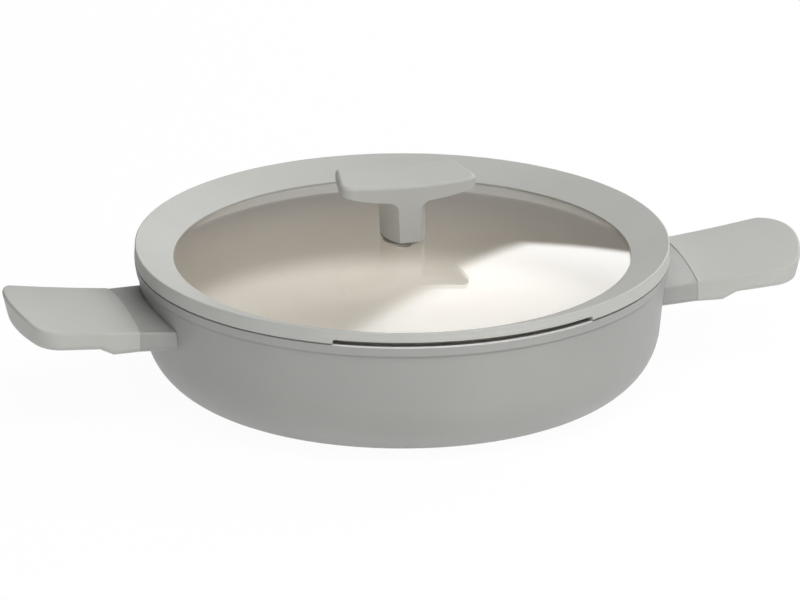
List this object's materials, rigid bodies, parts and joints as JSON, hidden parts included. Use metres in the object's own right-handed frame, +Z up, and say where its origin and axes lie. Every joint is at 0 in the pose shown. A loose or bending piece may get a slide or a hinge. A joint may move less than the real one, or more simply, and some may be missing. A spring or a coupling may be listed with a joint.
{
  "type": "saute pan with lid",
  "caption": "Wide, low saute pan with a rounded base, tongue-shaped side grips and a domed glass lid in a soft rim with a pouring slot and a gull-wing knob.",
  "frame": {"origin": "centre of the pan's base, on the surface that it stands on", "axes": "+Z up through the lid's knob, +X through the middle of one side grip, the lid's pouring slot faces -Y"},
  "size_m": [0.4478, 0.2946, 0.12],
  "materials": {
    "body_coat": "matt grey paint outside, pale ceramic coat inside",
    "plate_steel": "turned",
    "lid_glass": "clear tempered",
    "silicone": "matt",
    "soft_touch": "soft-touch matt",
    "insert_brass": "satin",
    "fastener_steel": "satin",
    "bracket_aluminium": "cast",
    "neck_coat": "satin grey paint"
  },
  "bodies": {
    "pan": {"pan_body": "body_coat", "induction_plate": "plate_steel", "bracket_right": "bracket_aluminium", "bracket_left": "bracket_aluminium", "neck_right": "neck_coat", "neck_left": "neck_coat", "grip_right": "soft_touch", "grip_left": "soft_touch", "grip_screw_right": "fastener_steel", "grip_screw_left": "fastener_steel", "lock_washer_right": "fastener_steel", "lock_washer_left": "fastener_steel"},
    "lid": {"lid_glass": "lid_glass", "lid_rim": "silicone", "knob": "soft_touch", "knob_insert": "insert_brass", "knob_screw": "fastener_steel", "knob_washer": "fastener_steel", "knob_gasket_upper": "silicone", "knob_gasket_lower": "silicone"}
  },
  "joints": [
    {"name": "lid_lift", "type": "slide", "parent": "pan", "child": "lid", "axis": [0, 0, 1], "range_m": [0, 0.06]}
  ]
}
